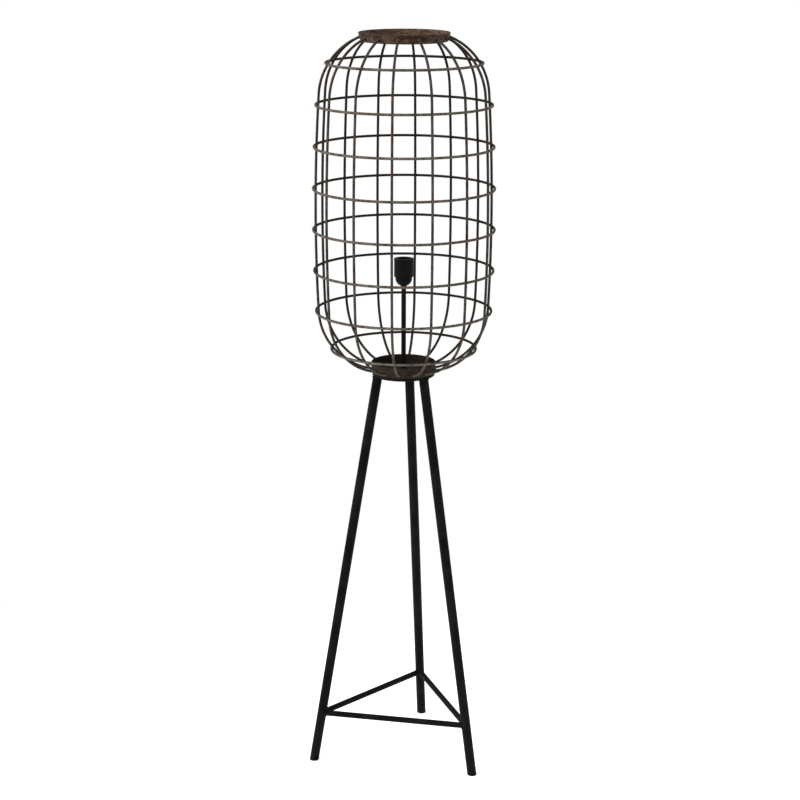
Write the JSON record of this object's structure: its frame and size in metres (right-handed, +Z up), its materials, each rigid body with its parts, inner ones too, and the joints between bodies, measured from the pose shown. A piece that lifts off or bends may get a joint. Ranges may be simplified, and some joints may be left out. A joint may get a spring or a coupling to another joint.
{
  "type": "floor lamp",
  "caption": "Tall open wire cage shade with hoops and bent ribs on a slim tripod of tubes with a low triangle of stretchers, holding one upright lampholder on a stem.",
  "frame": {"origin": "on the floor, under the lamp's axis", "axes": "+Z up along the lamp's axis, +Y towards the back leg, +X to the right seen from the front"},
  "size_m": [0.3834, 0.4056, 1.574],
  "materials": {
    "cage_patina": "antique brown patina, satin, with olive and rust-brown patches",
    "stand_black": "matte black powder coat",
    "stem_black": "black, satin",
    "cap_plastic": "matte black",
    "holder_plastic": "matte black, moulded",
    "core_plastic": "off-white insulator",
    "contact_brass": "plain"
  },
  "bodies": {
    "lamp": {"top_collar": "cage_patina", "rib_01": "cage_patina", "rib_02": "cage_patina", "rib_03": "cage_patina", "rib_04": "cage_patina", "rib_05": "cage_patina", "rib_06": "cage_patina", "rib_07": "cage_patina", "rib_08": "cage_patina", "rib_09": "cage_patina", "rib_10": "cage_patina", "rib_11": "cage_patina", "rib_12": "cage_patina", "rib_13": "cage_patina", "rib_14": "cage_patina", "ring_1": "cage_patina", "ring_2": "cage_patina", "ring_3": "cage_patina", "ring_4": "cage_patina", "ring_5": "cage_patina", "ring_6": "cage_patina", "ring_7": "cage_patina", "ring_8": "cage_patina", "bottom_cup": "cage_patina", "head_plate": "stand_black", "leg_back": "stand_black", "leg_left": "stand_black", "leg_right": "stand_black", "stretcher_left": "stand_black", "stretcher_front": "stand_black", "stretcher_right": "stand_black", "stem": "stem_black", "lower_washer": "stem_black", "lower_nut": "stem_black", "upper_washer": "stem_black", "upper_nut": "stem_black", "foot_caps": "cap_plastic", "cord_bush": "cap_plastic", "holder_cap": "holder_plastic", "holder_skirt": "holder_plastic", "holder_core": "core_plastic", "terminal_screws": "contact_brass", "contact_base": "contact_brass", "side_contact": "contact_brass"},
    "contact": {"centre_contact": "contact_brass"}
  },
  "joints": [
    {"name": "contact_press", "type": "hinge", "parent": "lamp", "child": "contact", "pos_m": [-0.0077, 0, 1.0798], "axis": [0, -1, 0], "range_deg": [-9, 0], "stiffness_Nm_per_rad": 0.5}
  ]
}
